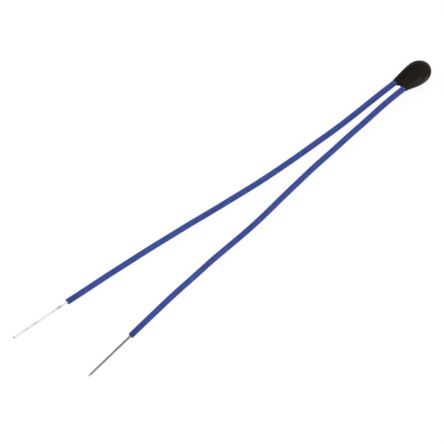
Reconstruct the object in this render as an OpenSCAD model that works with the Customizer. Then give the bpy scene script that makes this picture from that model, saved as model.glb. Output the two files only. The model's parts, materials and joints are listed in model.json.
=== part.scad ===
// Bead thermistor: a ceramic chip soldered between two wires, dipped in epoxy, on two insulated leads.
// It lies on its belly. +X runs from the leads to the rounded tip, +Y is to the left and +Z is up.

/* [Head] */
// Length of the epoxy head, from the ends of its collars to its tip
head_l = 3.75; // [3.5:0.05:4.2]
// Width of the head where it is widest, across the two leads
head_w = 2.3; // [2.2:0.02:2.4]
// Height of the head where it is widest
head_h = 2; // [1.8:0.05:2.2]
// Distance from the widest section to the tip
tip_l = 1.35; // [1.2:0.05:1.5]
// Thickness of the epoxy film around the insulation at the collars
film_t = 0.04; // [0.04:0.01:0.08]
// How far the edge of the epoxy is drawn in between the two leads
web_in = 0.1; // [0.05:0.05:0.35]
// How far the tail of the head leans to the left, with its two leads
lean = 0.1; // [0:0.05:0.15]

/* [Leads] */
// Outer diameter of the insulation
sleeve_d = 0.55; // [0.48:0.01:0.6]
// Diameter of the wire
wire_d = 0.2; // [0.16:0.01:0.26]
// Distance between the two leads where they leave the head
lead_pitch = 1.1; // [1.05:0.05:1.2]
// Length of the insulation that is held in the epoxy
sleeve_in = 0.7; // [0.5:0.05:0.8]
// Length of bare wire beyond the insulation of the left lead
bare_left = 6.4; // [5:0.05:7.5]
// Length of bare wire beyond the insulation of the right lead
bare_right = 6.1; // [5:0.05:7.5]

/* [Chip] */
// Side of the square ceramic chip
chip_s = 0.9; // [0.7:0.05:1]
// Thickness of the chip between its two electrodes
chip_t = 0.5; // [0.4:0.05:0.55]
// Thickness of each electrode
electrode_t = 0.03; // [0.02:0.01:0.04]
// Radius of the solder around each wire
solder_r = 0.22; // [0.18:0.01:0.24]

/* [Hidden] */

// Route of the left lead: how far behind the collars, and how far out from its place in the head
left_route = [
  [0, 0], [2.5, 0], [5, -0.05], [7.5, -0.05], [10, 0.05], [12.5, 0.15], [15, 0.3], [17.5, 0.5], [20, 0.8],
  [22.5, 1.1], [25, 1.45], [27.5, 1.75], [30, 2.05], [32.5, 2.3], [35, 2.55], [37.5, 2.75], [39.75, 2.95]
];
// Route of the right lead, in the same way
right_route = [
  [0, 0], [2.5, 0.05], [5, 0.25], [7.5, 0.4], [10, 0.6], [12.5, 0.75], [15, 1], [17.5, 1.25], [20, 1.55],
  [22.5, 1.75], [25, 1.85], [27.5, 1.95], [30, 2.15], [32.5, 2.3], [35, 2.55], [37.5, 2.8], [38.85, 2.95]
];
// Direction of each bare wire, seen from above, as a slope out from the middle
bare_slope_left = 0.08;
bare_slope_right = 0.1;

back_x = -head_l / 2;
wide_x = head_l / 2 - tip_l;
tail_l = head_l - tip_l;
mid_z = head_h / 2;
lead_y = lead_pitch / 2;
neck_r = sleeve_d / 2 + film_t;
neck_w = lead_y + neck_r;

// The chip sits at the widest section, with each wire lying on its electrode
solder_gap = 0.01;
pad_y = chip_t / 2 + electrode_t;
wire_y = pad_y + solder_gap + wire_d / 2;
wire_end_x = wide_x + chip_s / 2 + 0.05;
bend_x = wide_x - chip_s / 2 - 0.1;
solder_l = chip_s / 2;

// Facets of the head: sides around, rings along its tail and rings along its tip
head_sides = 48;
tail_rings = 20;
tip_rings = 9;
// The leads are eight-sided, with flats above and below
lead_sides = 8;
flat_to_corner = 1 / cos(180 / lead_sides);
// The wire's tip hangs this far above the surface that the part lies on
tip_gap = 0.015;

epoxy_color = [0.12, 0.11, 0.11];
sleeve_color = [0.22, 0.29, 0.62];
wire_color = [0.8, 0.8, 0.78];
solder_color = [0.62, 0.63, 0.64];
electrode_color = [0.85, 0.85, 0.83];
chip_color = [0.25, 0.22, 0.2];

$fn = 48;

// Head: t runs from 0 at the widest section to 1 at the ends of the collars
function half_w(t) = neck_w + (head_w / 2 - neck_w) * (1 - pow(t, 1.75));
function half_h(t) = neck_r + (head_h / 2 - neck_r) * pow(1 - pow(t, 2.2), 2.2);

// 1 midway between the leads, falling to 0 at each lead's own middle
function between(y) = (1 + cos(180 * min(abs(y), lead_y) / lead_y)) / 2;

// Height of a section that is round over each lead and dips between them
function lobed(y, w, h) =
  abs(y) > lead_y
    ? h * sqrt(max(0, 1 - pow((abs(y) - lead_y) / (w - lead_y), 2)))
    : h * (1 - 0.3 * between(y));

function tail_point(t, a) =
  let (
    w = half_w(t),
    h = half_h(t),
    y = w * cos(a),
    z = (1 - t * t) * h * abs(sin(a)) + t * t * lobed(y, w, h),
    drawn_in = web_in * pow(max(0, t - 0.6) / 0.4, 2) * between(y),
    leant = lean * t * t
  )
  [wide_x - tail_l * t + drawn_in, y + leant, mid_z + sign(sin(a)) * z];

function tip_point(b, a) = [
  wide_x + tip_l * sin(b),
  head_w / 2 * cos(b) * cos(a),
  mid_z + head_h / 2 * cos(b) * sin(a)
];

// Triangles that join each ring of points to the next
function skin(rings, sides) = [
  for (i = [0:rings - 2], k = [0:sides - 1])
    let (a = i * sides + k, b = i * sides + (k + 1) % sides)
    each [[a, b + sides, b], [a, a + sides, b + sides]]
];
function shifted(faces, by) = [for (f = faces) [for (p = f) p + by]];
function turned(faces) = [for (f = faces) [f[0], f[2], f[1]]];

// Triangles that close the head's rear edge, from its upper side to its lower side
rear_faces = [
  for (k = [1:head_sides / 2 - 1])
    each [[k - 1, k, head_sides - k], [k, head_sides - k - 1, head_sides - k]]
];

module drop() {
  angles = [for (k = [0:head_sides - 1]) 360 * k / head_sides];
  rings = tail_rings + tip_rings;
  points = concat(
    [for (i = [0:tail_rings - 1], a = angles) tail_point(1 - i / tail_rings, a)],
    [for (i = [0:tip_rings - 1], a = angles) tip_point(90 * i / tip_rings, a)],
    [[head_l / 2, 0, mid_z]]
  );
  last = (rings - 1) * head_sides;
  tip_faces = [for (k = [0:head_sides - 1]) [last + k, rings * head_sides, last + (k + 1) % head_sides]];
  polyhedron(points, concat(skin(rings, head_sides), rear_faces, tip_faces));
}

// Leads: side is 1 for the left one and -1 for the right one
function place_y(side) = side * lead_y + lean;
function route_of(side) = side > 0 ? left_route : right_route;
function bare_of(side) = side > 0 ? bare_left : bare_right;
function slope_of(side) = side > 0 ? bare_slope_left : bare_slope_right;

// The lead falls evenly from the middle of the head to the surface that the part lies on
function lead_point(side, p, length) = [
  back_x - p[0],
  place_y(side) + side * p[1],
  mid_z + (sleeve_d / 2 - mid_z) * p[0] / length
];
function free_path(side) =
  let (route = route_of(side), length = route[len(route) - 1][0])
  [for (p = route) lead_point(side, p, length)];
function sleeve_path(side) = concat([[back_x + sleeve_in, place_y(side), mid_z]], free_path(side));

function cut_point(side) = let (path = free_path(side)) path[len(path) - 1];
function bare_way(side) =
  let (fall = (sleeve_d - wire_d) / 2 - tip_gap)
  unit([-1, side * slope_of(side), -fall / bare_of(side)]);
function inner_path(side) = [
  [wire_end_x, side * wire_y, mid_z],
  [bend_x, side * wire_y, mid_z],
  [back_x + sleeve_in + 0.1, place_y(side), mid_z]
];

function unit(v) = v / norm(v);
function way(path, i) = unit(path[min(i + 1, len(path) - 1)] - path[max(i - 1, 0)]);
function ring_points(path, i, r) =
  let (t = way(path, i), s = unit(cross([0, 0, 1], t)), u = cross(t, s))
  [
    for (k = [0:lead_sides - 1])
      let (a = 360 * (k + 0.5) / lead_sides)
      path[i] + r * flat_to_corner * (cos(a) * s + sin(a) * u)
  ];
function all_rings(path, r) = [for (i = [0:len(path) - 1]) each ring_points(path, i, r)];

// A solid eight-sided bar along a path; r is the distance from its middle to its flats
module bar(path, r) {
  first = [for (k = [0:lead_sides - 1]) k];
  last = [for (k = [1:lead_sides]) len(path) * lead_sides - k];
  polyhedron(all_rings(path, r), concat(skin(len(path), lead_sides), [first, last]));
}

// The same bar with a bore along it
module pipe(path, r, bore_r) {
  n = len(path) * lead_sides;
  wall = skin(len(path), lead_sides);
  first_rim = [
    for (k = [0:lead_sides - 1])
      let (j = (k + 1) % lead_sides)
      each [[k, n + j, n + k], [k, j, n + j]]
  ];
  last_rim = turned(shifted(first_rim, n - lead_sides));
  inside = turned(shifted(wall, n));
  polyhedron(concat(all_rings(path, r), all_rings(path, bore_r)), concat(wall, inside, first_rim, last_rim));
}

// Radius of the wire inside its insulation, to the flats, so that it fills the bore without touching it
core_r = wire_d / 2 - 0.01;
bore_r = wire_d / 2 - 0.005;

module lead_core(side) bar(concat(inner_path(side), sleeve_path(side)), core_r);

module lead_wire(side) {
  cut = cut_point(side);
  way = bare_way(side);
  start = 0.02;
  root = 0.25;
  color(wire_color) {
    bar(concat(inner_path(side), sleeve_path(side), [cut + root * way]), core_r);
    translate(cut + start * way)
      rotate([0, acos(way[2]), atan2(way[1], way[0])])
        cylinder(d = wire_d, h = bare_of(side) - start);
  }
}

module insulation(side) {
  color(sleeve_color)
    pipe(sleeve_path(side), sleeve_d / 2, bore_r);
}

// Chip, electrodes and solder
module chip_block(thickness) {
  translate([wide_x, 0, mid_z])
    cube([chip_s, thickness, chip_s], center = true);
}

module electrode(side) {
  color(electrode_color)
    translate([wide_x, side * (chip_t + electrode_t) / 2, mid_z])
      cube([chip_s, electrode_t, chip_s], center = true);
}

// A rounded mound over the wire, flat where it meets the electrode
module solder_mound(side) {
  reach = solder_l / 2;
  intersection() {
    translate([wide_x, side * wire_y, mid_z]) {
      rotate([0, 90, 0])
        cylinder(r = solder_r, h = 2 * reach, center = true);
      for (end = [-1, 1])
        translate([end * reach, 0, 0])
          sphere(r = solder_r);
    }
    translate([wide_x, side * (pad_y + 1), mid_z])
      cube([2, 2, 2], center = true);
  }
}

module solder_joint(side) {
  color(solder_color)
    difference() {
      solder_mound(side);
      bar(inner_path(side), core_r);
    }
}

module epoxy_head() {
  color(epoxy_color)
    difference() {
      drop();
      chip_block(chip_t + 2 * electrode_t);
      for (side = [-1, 1]) {
        solder_mound(side);
        bar(concat(inner_path(side), [sleeve_path(side)[0]]), core_r);
        bar([sleeve_path(side)[0], sleeve_path(side)[0] - [sleeve_in + 0.2, 0, 0]], sleeve_d / 2);
      }
    }
}

module thermistor_chip() {
  color(chip_color)
    chip_block(chip_t);
}

module electrode_left() electrode(1);
module electrode_right() electrode(-1);
module solder_joint_left() solder_joint(1);
module solder_joint_right() solder_joint(-1);
module lead_wire_left() lead_wire(1);
module lead_wire_right() lead_wire(-1);
module insulation_left() insulation(1);
module insulation_right() insulation(-1);

epoxy_head();
thermistor_chip();
electrode_left();
electrode_right();
solder_joint_left();
solder_joint_right();
lead_wire_left();
lead_wire_right();
insulation_left();
insulation_right();
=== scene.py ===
"""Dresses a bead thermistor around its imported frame: a dipped epoxy head on two blue insulated leads.

Everything is in metres, in the frame's own axes: +X runs from the leads to the rounded tip of the head,
+Y is to the left and +Z is up from the surface that the part lies on.
"""

import json
import math

import bmesh
import bpy
import numpy as np
from bpy.props import FloatProperty, FloatVectorProperty, PointerProperty
from mathutils import Matrix, Vector, geometry, noise


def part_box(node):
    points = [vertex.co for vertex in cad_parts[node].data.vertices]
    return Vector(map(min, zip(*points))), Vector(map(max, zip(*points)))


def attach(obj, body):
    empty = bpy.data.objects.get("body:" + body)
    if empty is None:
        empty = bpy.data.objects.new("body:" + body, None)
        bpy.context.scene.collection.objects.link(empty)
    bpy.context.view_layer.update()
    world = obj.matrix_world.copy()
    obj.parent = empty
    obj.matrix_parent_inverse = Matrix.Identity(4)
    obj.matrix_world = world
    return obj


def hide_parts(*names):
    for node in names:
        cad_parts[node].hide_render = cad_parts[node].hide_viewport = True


bl_info = {
    "name": "Bead Thermistor",
    "version": (1, 0, 0),
    "blender": (4, 5, 0),
    "location": "View3D > Sidebar > Thermistor",
    "description": "Models an epoxy bead thermistor with two insulated leads around its packed frame",
    "category": "Object",
}

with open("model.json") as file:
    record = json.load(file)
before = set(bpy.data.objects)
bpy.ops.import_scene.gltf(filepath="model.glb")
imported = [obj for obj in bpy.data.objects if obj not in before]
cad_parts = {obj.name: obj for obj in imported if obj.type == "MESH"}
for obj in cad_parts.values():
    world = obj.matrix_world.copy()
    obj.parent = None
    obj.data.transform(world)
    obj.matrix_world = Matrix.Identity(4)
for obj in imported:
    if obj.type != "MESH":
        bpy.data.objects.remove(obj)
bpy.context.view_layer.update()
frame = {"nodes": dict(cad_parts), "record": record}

MM = 0.001
RIGHT_ANGLE = math.pi / 2
# Each side's direction along Y
SIDES = {"left": 1, "right": -1}
# The part's only body
BODY = "root"

# Where the frame puts the head, the chip and the electrodes
HEAD_LOW, HEAD_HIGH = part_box("epoxy_head")
CHIP_LOW, CHIP_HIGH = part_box("thermistor_chip")
PAD_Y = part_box("electrode_left")[1].y
CHIP_X = (CHIP_LOW.x + CHIP_HIGH.x) / 2
MIDDLE_Z = (HEAD_LOW.z + HEAD_HIGH.z) / 2

# The route of each lead, in millimetres: how far behind the collars, and how far out from where it lies
# in the head
ROUTES = {
    "left": [
        (0, 0), (2.5, 0), (5, -0.05), (7.5, -0.05), (10, 0.05), (12.5, 0.15), (15, 0.3), (17.5, 0.5),
        (20, 0.8), (22.5, 1.1), (25, 1.45), (27.5, 1.75), (30, 2.05), (32.5, 2.3), (35, 2.55),
        (37.5, 2.75), (39.75, 2.95),
    ],
    "right": [
        (0, 0), (2.5, 0.05), (5, 0.25), (7.5, 0.4), (10, 0.6), (12.5, 0.75), (15, 1), (17.5, 1.25),
        (20, 1.55), (22.5, 1.75), (25, 1.85), (27.5, 1.95), (30, 2.15), (32.5, 2.3), (35, 2.55),
        (37.5, 2.8), (38.85, 2.95),
    ],
}

# Distance between the points of a lead's line, and between the rings of its meshes
LINE_STEP = 0.1 * MM
RING_STEP = 0.25 * MM
# Points of the curve between two points of a route, before they are spaced evenly
CURVE_POINTS = 24
# How often the kinks in a line are evened out, inside the head and along the free lead
INNER_PASSES = 20
FREE_PASSES = 120
WIRE_SIDES = 20
INSULATION_SIDES = 28

# Inside the head: the gap between wire and electrode that the solder fills, how far the wire runs on past
# the chip, and how far from the chip and from the insulation it bends
SOLDER_GAP = 0.01 * MM
PAST_CHIP = 0.05 * MM
BEND_ROOM = 0.1 * MM

# The dullness of each bare wire all along, from 0 to 1
DULLNESS = {"left": 0.0, "right": 0.97}
# Its spots: how far beyond the insulation, half their length, both in millimetres, and how much duller
SPOTS = {
    "left": [
        (1.02, 0.22, 0.85),
        (1.67, 0.13, 0.35),
        (3.0, 0.7, 0.05),
        (3.85, 0.3, 0.28),
        (4.85, 0.6, 0.25),
        (6.4, 0.07, 1.3),
    ],
    "right": [(0.0, 1.0, 0.08), (4.6, 1.0, -0.06), (6.1, 0.25, -0.3)],
}

# Each wire's snipped tip: how far back the cutters pinched it, and the share of its width and of its
# height that is left at the very end
SNIPS = {"left": (0.16 * MM, 0.98, 0.38), "right": (0.38 * MM, 0.5, 0.38)}
# The room between the tip and the end of the solid that it stands for
TIP_ROOM = 0.002 * MM

# The nick from the stripping blade: how far beyond the insulation, half its length, and how thin it
# leaves the wire
NICK_PLACE = 0.45 * MM
NICK_REACH = 0.05 * MM
NICK_WAIST = 0.93

# How far the rims of the insulation's cut end are rounded, and in how many steps
OUTER_RIM = (0.07 * MM, 5)
INNER_RIM = (0.015 * MM, 2)
# What lies beyond this share of its radius is its outside
SKIN_SHARE = 0.9
# The outside is uneven: how long the unevenness is, and half its depth as a share of the radius
UNEVEN_LENGTH = 0.6 * MM
UNEVEN_SHARE = 0.004
# The cut end is ragged: how far back, how far apart the tatters are, and half their depth
RAGGED_REACH = 0.06 * MM
RAGGED_SPACING = 0.18 * MM
RAGGED_DEPTH = 0.01 * MM
# The insulation is darker towards its cut end: by how much at the cut, and over what length that fades
CUT_END_DARKENING = 0.25
CUT_END_REACH = 1.4 * MM

# How long the unevenness of the head's dipped surface is
HEAD_UNEVEN_LENGTH = 0.9 * MM
# How far the solder's hollow in the epoxy reaches into the electrode's, so that no film is left between
SOLDER_SUNK = 0.001 * MM
# How far the insulation's hollow runs on past the collar, in diameters, and the cuts that divide it
HOLLOW_BEYOND = 4
HOLLOW_CUTS = 11

# Edges that turn by more than this stay sharp
SHARP_ANGLE = math.radians(38)
# Points closer than this are merged, in copies of CAD nodes, on the head and after a cut
CAD_MERGE = 0.0001 * MM
HEAD_MERGE = 0.0005 * MM
CUT_MERGE = 0.0002 * MM
# Less than any length here, but not nothing
TINY = 1e-9

# The way that the head's painted reflection faces: to the right and down
REFLECTION_SIDE = (-0.05, -0.8, -0.55)
# The range that soft noise seldom leaves
MOST_NOISE = (0.3, 0.7)

# The point on the table that the camera and the lamp look at
CAMERA_TARGET = Vector((-0.024696, 0.000589, 0.0))
# Where the lamp hangs from there, and the length of its sides
LAMP_OFFSET = Vector((-0.3, -0.3, 0.35))
LAMP_SIZE = 0.35
# How far the floor reaches to each side, and how far it lies below the part
FLOOR_REACH = 0.4
FLOOR_DROP = 0.02 * MM
# The floor's shade where it lights the part and where it is seen, and the glow that whitens it there
FLOOR_LIT = 0.8
FLOOR_SEEN = 0.15
FLOOR_GLOW = 0.88


def length(name, description, default):
    """A size in metres that the sidebar shows."""
    settings = {"min": 0.0, "precision": 5, "subtype": "DISTANCE", "unit": "LENGTH"}
    return FloatProperty(name=name, description=description, default=default, **settings)


def share(name, description, default):
    """A number from 0 to 1 that the sidebar shows."""
    settings = {"min": 0.0, "max": 1.0, "subtype": "FACTOR"}
    return FloatProperty(name=name, description=description, default=default, **settings)


def colour(name, description, default):
    """A linear colour that the sidebar shows."""
    settings = {"size": 3, "min": 0.0, "max": 1.0, "subtype": "COLOR"}
    return FloatVectorProperty(name=name, description=description, default=default, **settings)


def angle(name, description, degrees):
    """An angle that the sidebar shows."""
    settings = {"subtype": "ANGLE", "unit": "ROTATION"}
    return FloatProperty(name=name, description=description, default=math.radians(degrees), **settings)


class ThermistorHead(bpy.types.PropertyGroup):
    """Sizes and colours of the epoxy head and its solder."""

    width: length("Width", "Width of the head where it is widest", HEAD_HIGH.y - HEAD_LOW.y)
    height: length("Height", "Height of the head where it is widest", HEAD_HIGH.z - HEAD_LOW.z)
    film: length("Film", "Thickness of the epoxy film around the insulation at the collars", 0.04 * MM)
    lip: length("Lip", "Length over which the edge of the epoxy rounds over", 0.15 * MM)
    web: length("Web", "How far the edge of the epoxy is drawn in between the leads", 0.1 * MM)
    lean: length("Lean", "How far the tail leans to the left, with its two leads", 0.1 * MM)
    unevenness: length("Unevenness", "How far the dipped surface wanders inwards", 0.012 * MM)
    solder_radius: length("Solder Radius", "Radius of the solder around each wire", 0.22 * MM)
    epoxy: colour("Epoxy", "Colour of the epoxy", (0.0065, 0.0045, 0.003))
    # Painted sheen: a lighter, warmer tone across the middle of the head, in place of a soft reflection
    painted_sheen: colour("Worn Epoxy", "Colour of the epoxy where it has been handled", (0.0145, 0.0105, 0.008))
    # Painted reflection: a pale tone low on the right flank, in place of the white table's reflection
    painted_reflection: colour("Bloom", "Colour of the epoxy where its surface has clouded over", (0.042, 0.039, 0.04))
    epoxy_roughness: share("Epoxy Roughness", "How matte the epoxy is", 0.46)


class ThermistorLeads(bpy.types.PropertyGroup):
    """Sizes and colours of the two leads."""

    pitch: length("Pitch", "Distance between the leads where they leave the head", 1.1 * MM)
    sleeve: length("Insulation", "Outer diameter of the insulation", 0.55 * MM)
    bore: length("Bore", "Diameter of the bore of the insulation", 0.21 * MM)
    wire: length("Wire", "Diameter of the wire", 0.2 * MM)
    held: length("Held", "Length of the insulation that is held in the epoxy", 0.7 * MM)
    bare_left: length("Bare Left", "Length of bare wire on the left lead", 6.4 * MM)
    bare_right: length("Bare Right", "Length of bare wire on the right lead", 6.1 * MM)
    insulation: colour("Insulation", "Colour of the insulation", (0.035, 0.066, 0.293))
    bright_wire: colour("Bright Wire", "Colour of the clean plated wire", (0.86, 0.84, 0.79))
    # The darker, duller tone that each wire blends towards, as far as its dullness says
    dull_wire: colour("Dull Wire", "Colour of the tarnished wire", (0.235, 0.22, 0.205))


class ThermistorStage(bpy.types.PropertyGroup):
    """The camera, the floor and the lights."""

    elevation: angle("Elevation", "Height of the camera above the horizon", 46.0)
    azimuth: angle("Azimuth", "Turn of the camera around the part", -46.5)
    distance: length("Distance", "From the camera to the point that it looks at", 1.2)
    field: length("Field", "Width of the floor that the picture takes in", 444 * 0.09 * MM)
    ambient: share("Ambient", "Light from all around", 0.62)
    key: FloatProperty(
        name="Key", description="Power of the soft key light in watts", default=1.4, min=0.0
    )


# Shader nodes
def add_node(tree, kind, inputs=None, **settings):
    """Adds a node; inputs holds values, or sockets to be linked, by name or number."""
    node = tree.nodes.new(kind)
    for name, value in settings.items():
        setattr(node, name, value)
    for name, value in (inputs or {}).items():
        if isinstance(value, bpy.types.NodeSocket):
            tree.links.new(value, node.inputs[name])
        else:
            node.inputs[name].default_value = value
    return node


def maths(tree, operation, first, second, **settings):
    """The result of a Math node on two values, each of them a number or a socket."""
    inputs = {0: first, 1: second}
    return add_node(tree, "ShaderNodeMath", inputs, operation=operation, **settings).outputs["Value"]


def new_finish(name, **sockets):
    """A material with a Principled BSDF, whose uniform values are set on its own sockets.

    Underscores in the name of a keyword stand for the spaces in the socket's.
    """
    material = bpy.data.materials.new(name)
    material.use_nodes = True
    tree = material.node_tree
    shader = tree.nodes["Principled BSDF"]
    for socket, value in sockets.items():
        shader.inputs[socket.replace("_", " ")].default_value = value
    return material, tree, shader


def connect(tree, shader, tone, matte, normal):
    """Links a colour, a roughness and a bump to a shader."""
    tree.links.new(tone, shader.inputs["Base Color"])
    tree.links.new(matte, shader.inputs["Roughness"])
    tree.links.new(normal, shader.inputs["Normal"])


def attribute(tree, name, output):
    """What a mesh's attribute holds."""
    return add_node(tree, "ShaderNodeAttribute", attribute_name=name).outputs[output]


def millimetres(tree, place):
    """The coordinates, in millimetres."""
    inputs = {0: place, "Scale": 1 / MM}
    return add_node(tree, "ShaderNodeVectorMath", inputs, operation="SCALE").outputs["Vector"]


def object_place(tree):
    """The place in the object's own space, in millimetres."""
    return millimetres(tree, add_node(tree, "ShaderNodeTexCoord").outputs["Object"])


def lead_place(tree):
    """The place on a lead as it was before it was bent, in millimetres, with X along it."""
    return millimetres(tree, attribute(tree, "straight", "Vector"))


def stretched(tree, place, along, around):
    """The same coordinates, with features that many millimetres long along X and across it."""
    inputs = {"Vector": place, "Scale": (1 / along, 1 / around, 1 / around)}
    return add_node(tree, "ShaderNodeMapping", inputs).outputs["Vector"]


def grain(tree, place, size=1.0, detail=2.0, roughness=0.5):
    """Soft noise whose features are about size millimetres across, as a value from 0 to 1."""
    inputs = {"Vector": place, "Scale": 1 / size, "Detail": detail, "Roughness": roughness}
    return add_node(tree, "ShaderNodeTexNoise", inputs).outputs["Fac"]


def spread(tree, value, old, new=(0.0, 1.0)):
    """The value, spread from one range to another and held within it."""
    inputs = {"Value": value, "From Min": old[0], "From Max": old[1], "To Min": new[0], "To Max": new[1]}
    return add_node(tree, "ShaderNodeMapRange", inputs).outputs["Result"]


def blended(tree, factor, first, second):
    """A colour between two others, each of them a linear colour or a socket."""
    inputs = {"Factor": factor, "A": first, "B": second}
    node = add_node(tree, "ShaderNodeMix", data_type="RGBA")
    for name, value in inputs.items():
        socket = next(s for s in node.inputs if s.name == name and s.enabled)
        if isinstance(value, bpy.types.NodeSocket):
            tree.links.new(value, socket)
        else:
            socket.default_value = (*value, 1.0)
    return next(s for s in node.outputs if s.enabled)


def raised(tree, height, depth):
    """A bump of the given depth in metres."""
    inputs = {"Height": height, "Distance": depth, "Strength": 1.0}
    return add_node(tree, "ShaderNodeBump", inputs).outputs["Normal"]


def tinted(tone, factor):
    """The colour, lighter or darker by a factor."""
    return tuple(min(1.0, c * factor) for c in tone)


def epoxy_finish(head):
    """Semi-matte black resin with a faint orange peel, with a painted sheen across its middle and a painted
    reflection of the white table low on its right flank.
    """
    material, tree, shader = new_finish("black_epoxy", Specular_IOR_Level=0.05)
    place = object_place(tree)
    # Painted reflection: how far each point lies towards the lower right flank, which is painted paler as
    # if it mirrored the white table
    inputs = {0: place, 1: REFLECTION_SIDE}
    flank = add_node(tree, "ShaderNodeVectorMath", inputs, operation="DOT_PRODUCT").outputs["Value"]
    patches = grain(tree, stretched(tree, place, along=0.7, around=0.35), detail=3.0)
    edge = maths(tree, "ADD", flank, spread(tree, patches, MOST_NOISE, (0.2, 0.8)))
    # Going round to that flank, the resin takes first a painted sheen and then a painted reflection of the
    # white table
    resin = blended(tree, spread(tree, edge, (-0.9, 0.0)), tuple(head.epoxy), tuple(head.painted_sheen))
    tone = blended(tree, spread(tree, edge, (0.5, 1.05)), resin, tuple(head.painted_reflection))
    peel = grain(tree, place, size=0.11)
    matte = spread(tree, peel, MOST_NOISE, (head.epoxy_roughness - 0.06, head.epoxy_roughness + 0.08))
    connect(tree, shader, tone, matte, raised(tree, peel, 0.004 * MM))
    return material


def insulation_finish(leads):
    """Satin blue fluoropolymer, faintly streaked and banded by its extrusion and darker towards its cut
    end.
    """
    material, tree, shader = new_finish("blue_insulation", Specular_IOR_Level=0.2)
    place = lead_place(tree)
    mottle = grain(tree, stretched(tree, place, along=0.6, around=0.3), detail=4.0, roughness=0.6)
    drift = grain(tree, stretched(tree, place, along=0.9, around=0.4))
    bands = grain(tree, stretched(tree, place, along=0.16, around=1.2), detail=1.0)
    lines = grain(tree, stretched(tree, place, along=2.5, around=0.07))
    # How much darker the insulation is towards its cut end
    toned = attribute(tree, "toned", "Fac")
    clean = maths(tree, "SUBTRACT", mottle, toned)
    hue = spread(tree, maths(tree, "SUBTRACT", drift, toned), (0.35, 0.65))
    red, green, blue = leads.insulation
    violet = (1.09 * red, 0.89 * green, 1.02 * blue)
    teal = (0.91 * red, 1.1 * green, 0.98 * blue)
    dark = blended(tree, hue, tinted(violet, 0.84), tinted(teal, 0.84))
    light = blended(tree, hue, tinted(violet, 1.27), tinted(teal, 1.27))
    tone = blended(tree, spread(tree, clean, (0.35, 0.7)), dark, light)
    matte = spread(tree, lines, MOST_NOISE, (0.34, 0.46))
    connect(tree, shader, tone, matte, raised(tree, maths(tree, "ADD", lines, bands), 0.003 * MM))
    return material


def wire_finish(leads):
    """Drawn and plated wire with die lines, as dull and dark as its mesh says."""
    material, tree, shader = new_finish("plated_wire", Metallic=1.0)
    place = lead_place(tree)
    dull_share = attribute(tree, "dull_share", "Fac")
    patches = grain(tree, stretched(tree, place, along=0.7, around=0.3), detail=3.0)
    lines = grain(tree, stretched(tree, place, along=3.0, around=0.03))
    uneven = spread(tree, patches, (0.35, 0.65), (-0.08, 0.08))
    dulled = maths(tree, "ADD", dull_share, uneven, use_clamp=True)
    tone = blended(tree, dulled, tuple(leads.bright_wire), tuple(leads.dull_wire))
    matte = spread(tree, dulled, (0.0, 1.0), (0.26, 0.38))
    connect(tree, shader, tone, matte, raised(tree, lines, 0.002 * MM))
    return material


def grained_finish(name, grains, contrast, tones, matte, depth, **sockets):
    """A finish whose colour, roughness and bump all follow one fine grain."""
    material, tree, shader = new_finish(name, **sockets)
    value = grain(tree, object_place(tree), **grains)
    tone = blended(tree, spread(tree, value, contrast), *tones)
    connect(tree, shader, tone, spread(tree, value, MOST_NOISE, matte), raised(tree, value, depth))
    return material


def solder_finish():
    """Reflowed tin solder, smooth with a frosted grain."""
    return grained_finish(
        "solder",
        grains={"size": 0.05, "detail": 3.0},
        contrast=MOST_NOISE,
        tones=((0.44, 0.45, 0.46), (0.62, 0.63, 0.64)),
        matte=(0.28, 0.45),
        depth=0.003 * MM,
        Metallic=1.0,
    )


def electrode_finish():
    """Fired silver paste, matte and faintly porous."""
    return grained_finish(
        "silver_electrode",
        grains={"size": 0.025, "detail": 4.0, "roughness": 0.6},
        contrast=(0.3, 0.6),
        tones=((0.6, 0.58, 0.54), (0.86, 0.85, 0.82)),
        matte=(0.62, 0.45),
        depth=0.002 * MM,
        Metallic=1.0,
    )


def ceramic_finish():
    """Fired oxide ceramic, dark and sugary where it was diced."""
    return grained_finish(
        "oxide_ceramic",
        grains={"size": 0.02, "detail": 4.0, "roughness": 0.65},
        contrast=(0.35, 0.65),
        tones=((0.022, 0.019, 0.017), (0.06, 0.052, 0.046)),
        matte=(0.75, 0.55),
        depth=0.003 * MM,
        Specular_IOR_Level=0.4,
    )


# Meshes
def new_object(name, bm):
    """Makes a mesh an object at the origin."""
    mesh = bpy.data.meshes.new(name)
    bm.to_mesh(mesh)
    bm.free()
    made = bpy.data.objects.new(name, mesh)
    bpy.context.scene.collection.objects.link(made)
    return made


def dress(piece, finish):
    """Shades a piece smooth up to the sharp angle and gives it its material."""
    piece.data.polygons.foreach_set("use_smooth", [True] * len(piece.data.polygons))
    piece.data.set_sharp_from_angle(angle=SHARP_ANGLE)
    piece.data.materials.clear()
    piece.data.materials.append(finish)


def new_piece(name, bm, finish):
    """Makes a finished mesh a piece of the part, riding on its body."""
    piece = new_object(name, bm)
    dress(piece, finish)
    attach(piece, BODY)
    return piece


def whole(bm):
    """Everything in a mesh, for the operators that cut it."""
    return bm.verts[:] + bm.edges[:] + bm.faces[:]


def of_kind(items, kind):
    """Those of the items that are of one kind."""
    return [item for item in items if isinstance(item, kind)]


def extruded(bm, edges):
    """Extrudes a ring of edges. Returns the vertices and the edges of the new ring."""
    made = bmesh.ops.extrude_edge_only(bm, edges=edges)["geom"]
    ring = of_kind(made, bmesh.types.BMVert)
    held = set(ring)
    return ring, [edge for edge in of_kind(made, bmesh.types.BMEdge) if held.issuperset(edge.verts)]


def edges_at(verts):
    """All the edges that meet at some vertices, each of them once."""
    return list({edge for vert in verts for edge in vert.link_edges})


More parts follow.
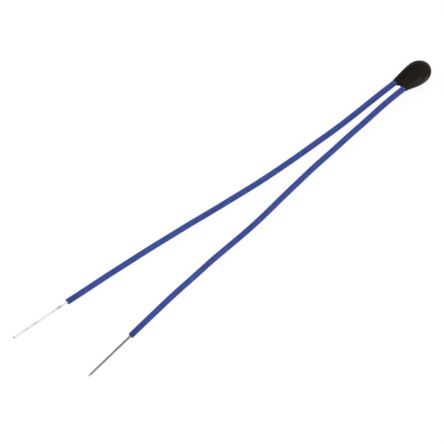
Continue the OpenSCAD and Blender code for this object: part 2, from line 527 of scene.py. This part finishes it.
def straight_tube(bm, radius, start, end, sides, cuts):
    """A tube along +X, open at both ends. Returns the edges of its first and last ring."""
    across = Matrix.Translation((start, 0, 0)) @ Matrix.Rotation(RIGHT_ANGLE, 4, "Y")
    first = bmesh.ops.create_circle(bm, segments=sides, radius=radius, matrix=across)["verts"]
    first_edges = edges_at(first)
    last, last_edges = extruded(bm, first_edges)
    bmesh.ops.translate(bm, verts=last, vec=(end - start, 0, 0))
    held = set(last)
    long_edges = [edge for vert in last for edge in vert.link_edges if not held.issuperset(edge.verts)]
    bmesh.ops.subdivide_edges(bm, edges=long_edges, cuts=cuts)
    return first_edges, last_edges


def cuts_for(distance):
    """How many rings divide a tube of that length."""
    return round(distance / RING_STEP)


def add_ring(bm, x):
    """Cuts one more ring of edges into a straight tube."""
    bmesh.ops.bisect_plane(bm, geom=whole(bm), plane_co=(x, 0, 0), plane_no=(1, 0, 0))


def distances(points):
    """How far along a line each of its points lies."""
    return np.concatenate([[0], np.cumsum(np.linalg.norm(np.diff(points, axis=0), axis=1))])


def evenly(points):
    """The same line with its points about a step apart."""
    line = np.array([tuple(p) for p in points])
    along = distances(line)
    at = np.linspace(0, along[-1], max(2, round(along[-1] / LINE_STEP) + 1))
    return np.stack([np.interp(at, along, line[:, k]) for k in range(3)], axis=1)


def smooth_line(points, passes):
    """A smooth line through the points, with what is left of their kinks evened out."""
    points = [Vector(p) for p in points]
    count = len(points)
    ways = []
    for i in range(count):
        before, after = points[max(i - 1, 0)], points[min(i + 1, count - 1)]
        ways.append((after - before).normalized())
    line = [points[0]]
    for i in range(count - 1):
        reach = (points[i + 1] - points[i]).length / 3
        handles = points[i] + ways[i] * reach, points[i + 1] - ways[i + 1] * reach
        line += geometry.interpolate_bezier(points[i], *handles, points[i + 1], CURVE_POINTS)[1:]
    even = evenly(line)
    for _ in range(passes):
        even[1:-1] = (even[:-2] + 2 * even[1:-1] + even[2:]) / 4
    return even


def wire_place(leads):
    """How far out from the middle of the chip each wire runs."""
    return PAD_Y + SOLDER_GAP + leads.wire / 2


class LeadLine:
    """The middle of one lead, from the wire's end at the chip to its bare tip."""

    def __init__(self, side, head, leads):
        self.side = side
        out = SIDES[side]
        lead_y = out * leads.pitch / 2 + head.lean
        self.exit = (HEAD_LOW.x, lead_y, MIDDLE_Z)
        root = (HEAD_LOW.x + leads.held, lead_y, MIDDLE_Z)

        wire_y = out * wire_place(leads)
        inner = [
            (CHIP_HIGH.x + PAST_CHIP, wire_y, MIDDLE_Z),
            (CHIP_LOW.x - BEND_ROOM, wire_y, MIDDLE_Z),
            (root[0] + BEND_ROOM, lead_y, MIDDLE_Z),
            root,
        ]

        # The free lead falls evenly from the middle of the head to the surface
        route = [(back * MM, wide * MM) for back, wide in ROUTES[side]]
        fall = (leads.sleeve / 2 - MIDDLE_Z) / route[-1][0]
        free = [(HEAD_LOW.x - back, lead_y + out * wide, MIDDLE_Z + fall * back) for back, wide in route]

        mount = next(m for m in frame["record"]["mounts"] if m["name"] == side + "_lead_end")
        bare = leads.bare_left if side == "left" else leads.bare_right
        cut = Vector(free[-1])
        tip = cut + (bare - TIP_ROOM) * Vector(mount["axis"])

        parts = [
            smooth_line(inner, INNER_PASSES),
            smooth_line([root, *free], FREE_PASSES),
            evenly([cut, tip]),
        ]
        self.points = np.concatenate([parts[0], parts[1][1:], parts[2][1:]])
        self.along = distances(self.points)
        self.root = self.along[len(parts[0]) - 1]
        self.cut = self.along[len(parts[0]) + len(parts[1]) - 2]
        self.tip = self.along[-1]
        ways = np.gradient(self.points, axis=0)
        self.ways = ways / np.linalg.norm(ways, axis=1)[:, None]

    def at(self, distance):
        """The point at a distance along the line, and the directions to its side and up from it."""
        point, way = (
            Vector([float(np.interp(distance, self.along, values[:, k])) for k in range(3)])
            for values in (self.points, self.ways)
        )
        side = Vector((0, 0, 1)).cross(way).normalized()
        return point, side, way.cross(side).normalized()

    def lay(self, bm):
        """Bends what was modelled along +X on to the line, and keeps its old place as an attribute."""
        straight = bm.verts.layers.float_vector.new("straight")
        for vert in bm.verts:
            place = vert.co.copy()
            point, side, up = self.at(place.x)
            vert[straight] = place
            vert.co = point + place.y * side + place.z * up


def snip(bm, line):
    """Pinches a wire thinner towards its tip, where the cutters took it off."""
    reach, wide, high = SNIPS[line.side]
    for part in (1.0, 0.75, 0.5, 0.25):
        add_ring(bm, line.tip - part * reach)
    for vert in bm.verts:
        near = max(0.0, 1 - (line.tip - vert.co.x) / reach)
        vert.co.y *= 1 - (1 - wide) * near
        vert.co.z *= 1 - (1 - high) * near * near


def nick(bm, line):
    """Cuts the groove that the stripping blade left around a wire."""
    middle = line.cut + NICK_PLACE
    for back in (-NICK_REACH, 0.0, NICK_REACH):
        add_ring(bm, middle + back)
    groove = [vert for vert in bm.verts if abs(vert.co.x - middle) < NICK_REACH / 5]
    bmesh.ops.scale(bm, verts=groove, vec=(1, NICK_WAIST, NICK_WAIST))


def mark_wire_dullness(bm, line):
    """Writes how dull each place on a wire is."""
    dull_share = bm.verts.layers.float.new("dull_share")
    spots = SPOTS[line.side]
    for vert in bm.verts:
        beyond = (vert.co.x - line.cut) / MM
        spotted = sum(duller * math.exp(-(((beyond - at) / half) ** 2)) for at, half, duller in spots)
        vert[dull_share] = DULLNESS[line.side] + spotted


def model_wire(line, leads):
    """The wire from the chip to its bare tip."""
    bm = bmesh.new()
    first, last = straight_tube(bm, leads.wire / 2, 0.0, line.tip, WIRE_SIDES, cuts_for(line.tip))
    bmesh.ops.holes_fill(bm, edges=first + last, sides=0)
    snip(bm, line)
    nick(bm, line)
    bmesh.ops.recalc_face_normals(bm, faces=bm.faces)
    mark_wire_dullness(bm, line)
    line.lay(bm)
    return bm


def model_insulation(line, leads):
    """The insulation with its bore, from its root in the epoxy to its cut end."""
    bm = bmesh.new()
    cuts = cuts_for(line.cut - line.root)
    inside = straight_tube(bm, leads.bore / 2, line.root, line.cut, INSULATION_SIDES, cuts)
    # The bore faces inwards before it is joined, or else the rims would cross over
    bmesh.ops.reverse_faces(bm, faces=bm.faces)
    outside = straight_tube(bm, leads.sleeve / 2, line.root, line.cut, INSULATION_SIDES, cuts)
    for near, far in zip(outside, inside):
        bmesh.ops.bridge_loops(bm, edges=near + far)
    bmesh.ops.recalc_face_normals(bm, faces=bm.faces)
    for rim, (offset, segments) in ((outside[1], OUTER_RIM), (inside[1], INNER_RIM)):
        bmesh.ops.bevel(
            bm, geom=rim, offset=offset, segments=segments, affect="EDGES", profile=0.5, material=-1
        )
    roughen(bm, line, leads)
    # The insulation is darker towards its cut end
    toned = bm.verts.layers.float.new("toned")
    for vert in bm.verts:
        vert[toned] = CUT_END_DARKENING * math.exp(-(((line.cut - vert.co.x) / CUT_END_REACH) ** 2))
    line.lay(bm)
    return bm


def roughen(bm, line, leads):
    """Makes the insulation's outside slightly uneven and its cut end slightly ragged."""
    for vert in bm.verts:
        wander = noise.noise(vert.co / UNEVEN_LENGTH)
        if math.hypot(vert.co.y, vert.co.z) > leads.sleeve / 2 * SKIN_SHARE:
            shrink = 1 - UNEVEN_SHARE * (1 + wander)
            vert.co.y *= shrink
            vert.co.z *= shrink
        if vert.co.x > line.cut - RAGGED_REACH:
            around = Vector((0, vert.co.y, vert.co.z)) / RAGGED_SPACING
            vert.co.x -= RAGGED_DEPTH * (1 + noise.noise(around))


def model_solder(side, head, leads, sunk=0.0):
    """A rounded mound of solder over the wire's end, flat where it meets the electrode or is sunk in it."""
    bm = bmesh.new()
    wire_y = wire_place(leads)
    reach = (CHIP_HIGH.x - CHIP_LOW.x) / 4
    turn = Matrix.Rotation(RIGHT_ANGLE, 4, "Y")
    bmesh.ops.create_uvsphere(bm, u_segments=32, v_segments=16, radius=head.solder_radius, matrix=turn)
    for end in (-1, 1):
        half = [vert for vert in bm.verts if vert.co.x * end > TINY]
        bmesh.ops.translate(bm, verts=half, vec=(end * reach, 0, 0))
    flat = (0, PAD_Y - sunk - wire_y, 0)
    cut = bmesh.ops.bisect_plane(
        bm, geom=whole(bm), plane_co=flat, plane_no=(0, -1, 0), clear_outer=True
    )
    bmesh.ops.holes_fill(bm, edges=of_kind(cut["geom_cut"], bmesh.types.BMEdge), sides=0)
    bmesh.ops.translate(bm, verts=bm.verts, vec=(CHIP_X, wire_y, MIDDLE_Z))
    if SIDES[side] < 0:
        bmesh.ops.scale(bm, verts=bm.verts, vec=(1, -1, 1))
    bmesh.ops.recalc_face_normals(bm, faces=bm.faces)
    return bm


class HeadShape:
    """The laws that the head's surface follows, from its widest section to its collars and to its tip."""

    # Points around each ring
    sides = 96
    # How late the tail narrows and how late it flattens, as powers of the distance along it
    narrowing = 1.75
    flattening = 2.2
    # The dip between the leads as a share of the height, and where along the tail the web starts
    dip = 0.3
    web_start = 0.6

    def __init__(self, head, leads):
        self.lead_y = leads.pitch / 2
        self.neck = leads.sleeve / 2 + head.film
        self.half_width = head.width / 2
        self.half_height = head.height / 2
        self.tip = HEAD_HIGH.x - CHIP_X
        # The lip meets the insulation where its rounding has come down to the insulation's own radius
        down = leads.sleeve / 2 / self.neck
        self.lip = head.lip
        shown_lip = head.lip * math.sqrt(1 - down * down)
        self.tail = CHIP_X - HEAD_LOW.x - shown_lip
        self.web = head.web + self.lip - shown_lip
        self.lean = head.lean

    def between(self, y):
        """1 midway between the leads, falling to 0 at each lead's own middle."""
        return (1 + math.cos(math.pi * min(abs(y), self.lead_y) / self.lead_y)) / 2

    def lobed(self, y, width, height):
        """Height of a section that is round over each lead and dips between them."""
        if abs(y) <= self.lead_y:
            return height * (1 - self.dip * self.between(y))
        lobe = max(width - self.lead_y, TINY)
        return height * math.sqrt(max(0.0, 1 - ((abs(y) - self.lead_y) / lobe) ** 2))

    def tail_point(self, t, turn, around):
        """A point of the tail and its lip.

        t runs from 0 at the widest section to 1 at the lip, and turn from 0 to a right angle round the lip.
        """
        neck = self.neck * math.cos(turn)
        width = self.lead_y + neck + (self.half_width - self.lead_y - neck) * (1 - t**self.narrowing)
        height = neck + (self.half_height - neck) * (1 - t**self.flattening) ** self.flattening
        y = width * math.cos(around)
        lobed = self.lobed(y, width, height)
        z = (1 - t * t) * height * abs(math.sin(around)) + t * t * lobed
        webbed = max(0.0, t - self.web_start) / (1 - self.web_start)
        drawn_in = self.web * webbed**2 * self.between(y)
        x = CHIP_X - self.tail * t - self.lip * math.sin(turn) + drawn_in
        return Vector((x, y + self.lean * t * t, MIDDLE_Z + math.copysign(z, math.sin(around))))

    def tip_point(self, turn, around):
        """A point of the rounded end, where turn runs from 0 at the widest section to a right angle."""
        left = math.cos(turn)
        x = CHIP_X + self.tip * math.sin(turn)
        y = self.half_width * left * math.cos(around)
        return Vector((x, y, MIDDLE_Z + self.half_height * left * math.sin(around)))

    def stations(self):
        """For each ring from the rear edge to the tip, the law that it follows and its place along it."""
        lips, tails, tips = 12, 36, 28
        for i in range(lips):
            yield self.tail_point, (1.0, RIGHT_ANGLE * (1 - i / lips))
        for i in range(tails):
            yield self.tail_point, (1 - i / tails, 0.0)
        for i in range(tips + 1):
            yield self.tip_point, (RIGHT_ANGLE * i / tips,)


def model_head(head, leads):
    """The dipped epoxy, without the hollows for what it holds."""
    bm = bmesh.new()
    shape = HeadShape(head, leads)
    stations = list(shape.stations())
    turn = Matrix.Rotation(RIGHT_ANGLE, 4, "Y")
    circle = bmesh.ops.create_circle(bm, segments=shape.sides, radius=shape.half_height, matrix=turn)
    ring = circle["verts"]
    edges = edges_at(ring)
    rings = [ring]
    for _ in stations[1:]:
        ring, edges = extruded(bm, edges)
        rings.append(ring)
    for ring, (law, place) in zip(rings, stations):
        for vert in ring:
            vert.co = law(*place, math.atan2(vert.co.z, vert.co.y))
    bmesh.ops.remove_doubles(bm, verts=bm.verts, dist=HEAD_MERGE)
    bmesh.ops.recalc_face_normals(bm, faces=bm.faces)
    bm.normal_update()
    for vert in bm.verts:
        wander = 1 + noise.noise(vert.co / HEAD_UNEVEN_LENGTH)
        vert.co -= vert.normal * head.unevenness * wander / 2
    return bm


def copy_of_node(name):
    """A closed copy of a CAD node."""
    bm = bmesh.new()
    bm.from_mesh(frame["nodes"][name].data)
    bmesh.ops.remove_doubles(bm, verts=bm.verts, dist=CAD_MERGE)
    return bm


def model_sleeve_hollow(line, leads):
    """The hollow for the insulation, which runs on well past the collar."""
    bm = bmesh.new()
    end = line.root + leads.held + HOLLOW_BEYOND * leads.sleeve
    first, last = straight_tube(bm, leads.sleeve / 2, line.root, end, INSULATION_SIDES, HOLLOW_CUTS)
    bmesh.ops.holes_fill(bm, edges=first + last, sides=0)
    bmesh.ops.recalc_face_normals(bm, faces=bm.faces)
    line.lay(bm)
    return bm


def hollow_out(piece, tools):
    """Cuts each tool's shape out of a piece, and closes up the slivers that this leaves."""
    for tool in tools:
        modifier = piece.modifiers.new(tool.name, "BOOLEAN")
        modifier.operation = "DIFFERENCE"
        modifier.solver = "MANIFOLD"
        modifier.object = tool
    graph = bpy.context.evaluated_depsgraph_get()
    cut = bpy.data.meshes.new_from_object(piece.evaluated_get(graph))
    bm = bmesh.new()
    bm.from_mesh(cut)
    bmesh.ops.dissolve_degenerate(bm, edges=bm.edges, dist=CUT_MERGE)
    bmesh.ops.triangulate(bm, faces=[face for face in bm.faces if len(face.verts) > 4])
    bm.to_mesh(cut)
    bm.free()
    piece.modifiers.clear()
    old = piece.data
    piece.data = cut
    bpy.data.meshes.remove(old)


def throw_away(tools):
    """Deletes the tools and their meshes."""
    for tool in tools:
        mesh = tool.data
        bpy.data.objects.remove(tool)
        bpy.data.meshes.remove(mesh)


# Stage
def light_path_share(tree):
    """1 for rays from the camera and for mirrored or refracted ones, and 0 for the rest."""
    path = add_node(tree, "ShaderNodeLightPath")
    seen = path.outputs["Is Camera Ray"]
    for kind in ("Is Glossy Ray", "Is Transmission Ray"):
        seen = maths(tree, "MAXIMUM", seen, path.outputs[kind])
    return seen


def floor_finish():
    """A white table that keeps a faint shadow."""
    material = bpy.data.materials.new("white_table")
    material.use_nodes = True
    tree = material.node_tree
    tree.nodes.remove(tree.nodes["Principled BSDF"])
    seen = light_path_share(tree)
    shade = spread(tree, seen, (0.0, 1.0), (FLOOR_LIT, FLOOR_SEEN))
    paper = add_node(tree, "ShaderNodeBsdfDiffuse", {"Color": shade})
    glow = add_node(tree, "ShaderNodeEmission", {"Strength": maths(tree, "MULTIPLY", seen, FLOOR_GLOW)})
    both = add_node(tree, "ShaderNodeAddShader", {0: paper.outputs["BSDF"], 1: glow.outputs["Emission"]})
    tree.links.new(both.outputs["Shader"], tree.nodes["Material Output"].inputs["Surface"])
    return material


def light_world(scene, ambient):
    """A white room: full strength where it is seen or mirrored, softer where it lights."""
    world = bpy.data.worlds.new("white_room")
    world.use_nodes = True
    tree = world.node_tree
    strength = spread(tree, light_path_share(tree), (0.0, 1.0), (ambient, 1.0))
    background = tree.nodes["Background"]
    background.inputs["Color"].default_value = (1.0, 1.0, 1.0, 1.0)
    tree.links.new(strength, background.inputs["Strength"])
    scene.world = world


def aim(thing, target):
    """Turns a camera or lamp to look at a point."""
    thing.rotation_mode = "QUATERNION"
    thing.rotation_quaternion = (Vector(target) - thing.location).to_track_quat("-Z", "Y")


def place_camera(scene, stage):
    """A camera at the photograph's angle, far away and with a narrow field."""
    level = math.cos(stage.elevation)
    right = math.sin(stage.azimuth) * level
    ahead = -math.cos(stage.azimuth) * level
    back = Vector((right, ahead, math.sin(stage.elevation)))
    data = bpy.data.cameras.new("camera")
    data.lens = data.sensor_width * stage.distance / stage.field
    data.clip_start = 0.01
    data.clip_end = 10.0
    camera = bpy.data.objects.new("camera", data)
    camera.location = CAMERA_TARGET + stage.distance * back
    aim(camera, CAMERA_TARGET)
    scene.collection.objects.link(camera)
    scene.camera = camera


def lay_floor():
    """A square white table under the part."""
    bm = bmesh.new()
    bmesh.ops.create_grid(bm, x_segments=1, y_segments=1, size=FLOOR_REACH)
    bmesh.ops.translate(bm, verts=bm.verts, vec=(CAMERA_TARGET.x, CAMERA_TARGET.y, -FLOOR_DROP))
    floor = new_object("floor", bm)
    floor.data.materials.append(floor_finish())


def hang_lamp(scene, power):
    """A square soft box."""
    data = bpy.data.lights.new("key_light", "AREA")
    data.shape = "SQUARE"
    data.size = LAMP_SIZE
    data.energy = power
    lamp = bpy.data.objects.new("key_light", data)
    lamp.location = CAMERA_TARGET + LAMP_OFFSET
    lamp.visible_glossy = False
    aim(lamp, CAMERA_TARGET)
    scene.collection.objects.link(lamp)


class THERMISTOR_OT_stage(bpy.types.Operator):
    """Set up the camera, the white table and the soft light"""

    bl_idname = "thermistor.stage"
    bl_label = "Stage"
    bl_options = {"REGISTER", "UNDO"}

    def execute(self, context):
        scene = context.scene
        stage = scene.thermistor_stage
        place_camera(scene, stage)
        lay_floor()
        light_world(scene, stage.ambient)
        hang_lamp(scene, stage.key)
        scene.view_settings.view_transform = "Standard"
        return {"FINISHED"}


class THERMISTOR_OT_lead_wires(bpy.types.Operator):
    """Model the two plated wires, from the chip to their bare tips"""

    bl_idname = "thermistor.lead_wires"
    bl_label = "Lead Wires"
    bl_options = {"REGISTER", "UNDO"}

    def execute(self, context):
        head, leads = context.scene.thermistor_head, context.scene.thermistor_leads
        finish = wire_finish(leads)
        for side in SIDES:
            bm = model_wire(LeadLine(side, head, leads), leads)
            piece = new_piece("wire_" + side, bm, finish)
            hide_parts("lead_wire_" + side)
        return {"FINISHED"}


class THERMISTOR_OT_insulation(bpy.types.Operator):
    """Model the blue insulation of both leads"""

    bl_idname = "thermistor.insulation"
    bl_label = "Insulation"
    bl_options = {"REGISTER", "UNDO"}

    def execute(self, context):
        head, leads = context.scene.thermistor_head, context.scene.thermistor_leads
        finish = insulation_finish(leads)
        for side in SIDES:
            line = LeadLine(side, head, leads)
            piece = new_piece("sleeve_" + side, model_insulation(line, leads), finish)
            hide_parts("insulation_" + side)
        return {"FINISHED"}


class THERMISTOR_OT_sensing_chip(bpy.types.Operator):
    """Finish the chip and its electrodes, and model the solder that holds the wires to them"""

    bl_idname = "thermistor.sensing_chip"
    bl_label = "Sensing Chip"
    bl_options = {"REGISTER", "UNDO"}

    def execute(self, context):
        head, leads = context.scene.thermistor_head, context.scene.thermistor_leads
        finishes = {"thermistor_chip": ceramic_finish()}
        finishes.update(dict.fromkeys(("electrode_left", "electrode_right"), electrode_finish()))
        for name, finish in finishes.items():
            node = frame["nodes"][name]
            node.data.materials.clear()
            node.data.materials.append(finish)
        solder = solder_finish()
        for side in SIDES:
            piece = new_piece("solder_" + side, model_solder(side, head, leads), solder)
            hollow_out(piece, [bpy.data.objects["wire_" + side]])
            dress(piece, solder)
            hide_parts("solder_joint_" + side)
        return {"FINISHED"}


class THERMISTOR_OT_epoxy_head(bpy.types.Operator):
    """Model the dipped epoxy head around the chip and the ends of the leads"""

    bl_idname = "thermistor.epoxy_head"
    bl_label = "Epoxy Head"
    bl_options = {"REGISTER", "UNDO"}

    def execute(self, context):
        head, leads = context.scene.thermistor_head, context.scene.thermistor_leads
        finish = epoxy_finish(head)
        piece = new_piece("epoxy_bead", model_head(head, leads), finish)
        tools = [new_object("chip_hollow", copy_of_node("thermistor_chip"))]
        for side in SIDES:
            hollows = {
                "electrode_hollow_": copy_of_node("electrode_" + side),
                "solder_hollow_": model_solder(side, head, leads, SOLDER_SUNK),
                "sleeve_hollow_": model_sleeve_hollow(LeadLine(side, head, leads), leads),
            }
            tools += [new_object(name + side, bm) for name, bm in hollows.items()]
            tools.append(bpy.data.objects["wire_" + side])
        hollow_out(piece, tools)
        throw_away([tool for tool in tools if not tool.name.startswith("wire_")])
        dress(piece, finish)
        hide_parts("epoxy_head")
        return {"FINISHED"}


OPERATORS = (
    THERMISTOR_OT_stage,
    THERMISTOR_OT_lead_wires,
    THERMISTOR_OT_insulation,
    THERMISTOR_OT_sensing_chip,
    THERMISTOR_OT_epoxy_head,
)


class VIEW3D_PT_thermistor(bpy.types.Panel):
    """Lists the steps that build the thermistor"""

    bl_idname = "VIEW3D_PT_thermistor"
    bl_label = "Bead Thermistor"
    bl_space_type = "VIEW_3D"
    bl_region_type = "UI"
    bl_category = "Thermistor"

    def draw(self, context):
        scene = context.scene
        for group in (scene.thermistor_head, scene.thermistor_leads, scene.thermistor_stage):
            box = self.layout.box()
            for name in group.__annotations__:
                box.prop(group, name)
        for operator in OPERATORS:
            self.layout.operator(operator.bl_idname)


GROUPS = {
    "thermistor_head": ThermistorHead,
    "thermistor_leads": ThermistorLeads,
    "thermistor_stage": ThermistorStage,
}
CLASSES = (*GROUPS.values(), *OPERATORS, VIEW3D_PT_thermistor)


def register():
    """Registers the classes and gives the scene its settings."""
    for cls in CLASSES:
        bpy.utils.register_class(cls)
    for name, group in GROUPS.items():
        setattr(bpy.types.Scene, name, PointerProperty(type=group))


def unregister():
    """Takes the settings and the classes away again."""
    for name in GROUPS:
        delattr(bpy.types.Scene, name)
    for cls in reversed(CLASSES):
        bpy.utils.unregister_class(cls)


def main():
    """Builds the thermistor on its stage."""
    register()
    bpy.ops.thermistor.stage()
    bpy.ops.thermistor.lead_wires()
    bpy.ops.thermistor.insulation()
    bpy.ops.thermistor.sensing_chip()
    bpy.ops.thermistor.epoxy_head()


if __name__ == "__main__":
    main()
